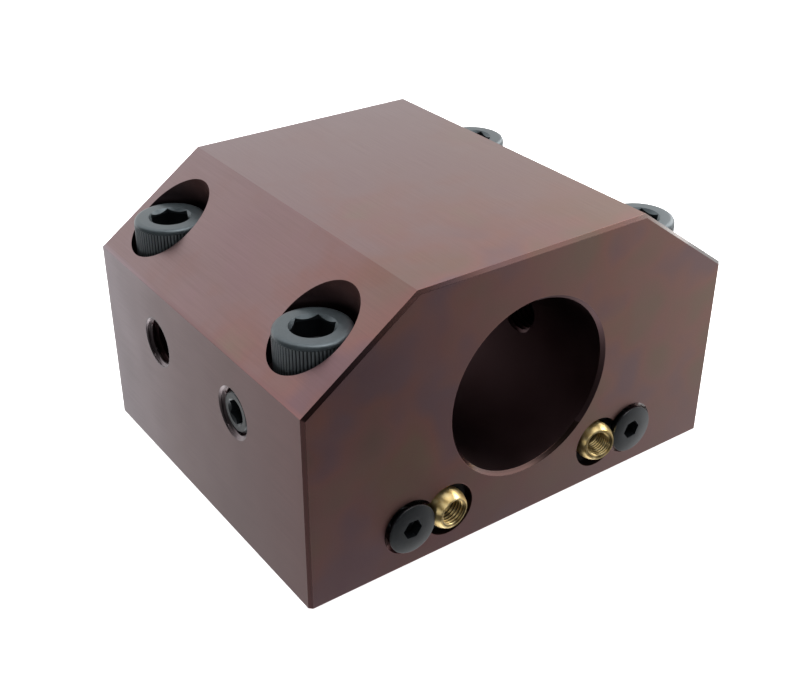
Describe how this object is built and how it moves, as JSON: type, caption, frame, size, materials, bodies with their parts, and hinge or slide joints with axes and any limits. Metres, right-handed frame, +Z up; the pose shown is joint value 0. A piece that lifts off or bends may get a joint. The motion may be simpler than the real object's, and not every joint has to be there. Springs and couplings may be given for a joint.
{
  "type": "axial tool holder block",
  "caption": "Steel block with sloped shoulders, a through bore for a tool shank, side clamp screws, counterbored cap screws and swivelling coolant nozzles.",
  "frame": {"origin": "centre of the base face", "axes": "+X to the right across the front face, +Y along the tool bore from the front (nozzle) face to the rear, +Z up from the base"},
  "size_m": [0.11, 0.0899, 0.0635],
  "materials": {
    "oxided_steel": "satin, dark oxided",
    "black_screw_steel": "satin, black oxided",
    "grey_screw_steel": "satin, oiled",
    "nozzle_brass": "turned, bright",
    "seal_rubber": "matte"
  },
  "bodies": {
    "holder": {"holder_block": "oxided_steel", "mount_screw_front_left": "black_screw_steel", "mount_screw_rear_left": "black_screw_steel", "mount_screw_front_right": "black_screw_steel", "mount_screw_rear_right": "black_screw_steel", "nozzle_seat_left": "seal_rubber", "nozzle_seat_right": "seal_rubber", "gallery_plug": "grey_screw_steel", "inlet_seal": "seal_rubber"},
    "bar_clamp_front_left": {"bar_clamp_screw_front_left": "grey_screw_steel"},
    "bar_clamp_rear_left": {"bar_clamp_screw_rear_left": "grey_screw_steel"},
    "bar_clamp_front_right": {"bar_clamp_screw_front_right": "grey_screw_steel"},
    "bar_clamp_rear_right": {"bar_clamp_screw_rear_right": "grey_screw_steel"},
    "nozzle_left": {"nozzle_ball_left": "nozzle_brass"},
    "nozzle_lock_left": {"nozzle_screw_left": "grey_screw_steel"},
    "nozzle_right": {"nozzle_ball_right": "nozzle_brass"},
    "nozzle_lock_right": {"nozzle_screw_right": "grey_screw_steel"}
  },
  "joints": [
    {"name": "bar_clamp_front_left_travel", "type": "slide", "parent": "holder", "child": "bar_clamp_front_left", "axis": [1, 0, 0], "range_m": [-0.0006, 0.0124]},
    {"name": "bar_clamp_rear_left_travel", "type": "slide", "parent": "holder", "child": "bar_clamp_rear_left", "axis": [1, 0, 0], "range_m": [-0.008, 0.005]},
    {"name": "bar_clamp_front_right_travel", "type": "slide", "parent": "holder", "child": "bar_clamp_front_right", "axis": [-1, 0, 0], "range_m": [-0.005, 0.008]},
    {"name": "bar_clamp_rear_right_travel", "type": "slide", "parent": "holder", "child": "bar_clamp_rear_right", "axis": [-1, 0, 0], "range_m": [-0.005, 0.008]},
    {"name": "nozzle_left_swivel", "type": "hinge", "parent": "holder", "child": "nozzle_left", "pos_m": [-0.0209, -0.04265, 0.00985], "axis": [0, 0, 1], "range_deg": [-24.5, 15.5]},
    {"name": "nozzle_lock_left_travel", "type": "slide", "parent": "holder", "child": "nozzle_lock_left", "axis": [0, -1, 0], "range_m": [0, 0.001]},
    {"name": "nozzle_right_swivel", "type": "hinge", "parent": "holder", "child": "nozzle_right", "pos_m": [0.0209, -0.04265, 0.00985], "axis": [0, 0, 1], "range_deg": [-6.5, 33.5]},
    {"name": "nozzle_lock_right_travel", "type": "slide", "parent": "holder", "child": "nozzle_lock_right", "axis": [0, -1, 0], "range_m": [0, 0.001]}
  ]
}
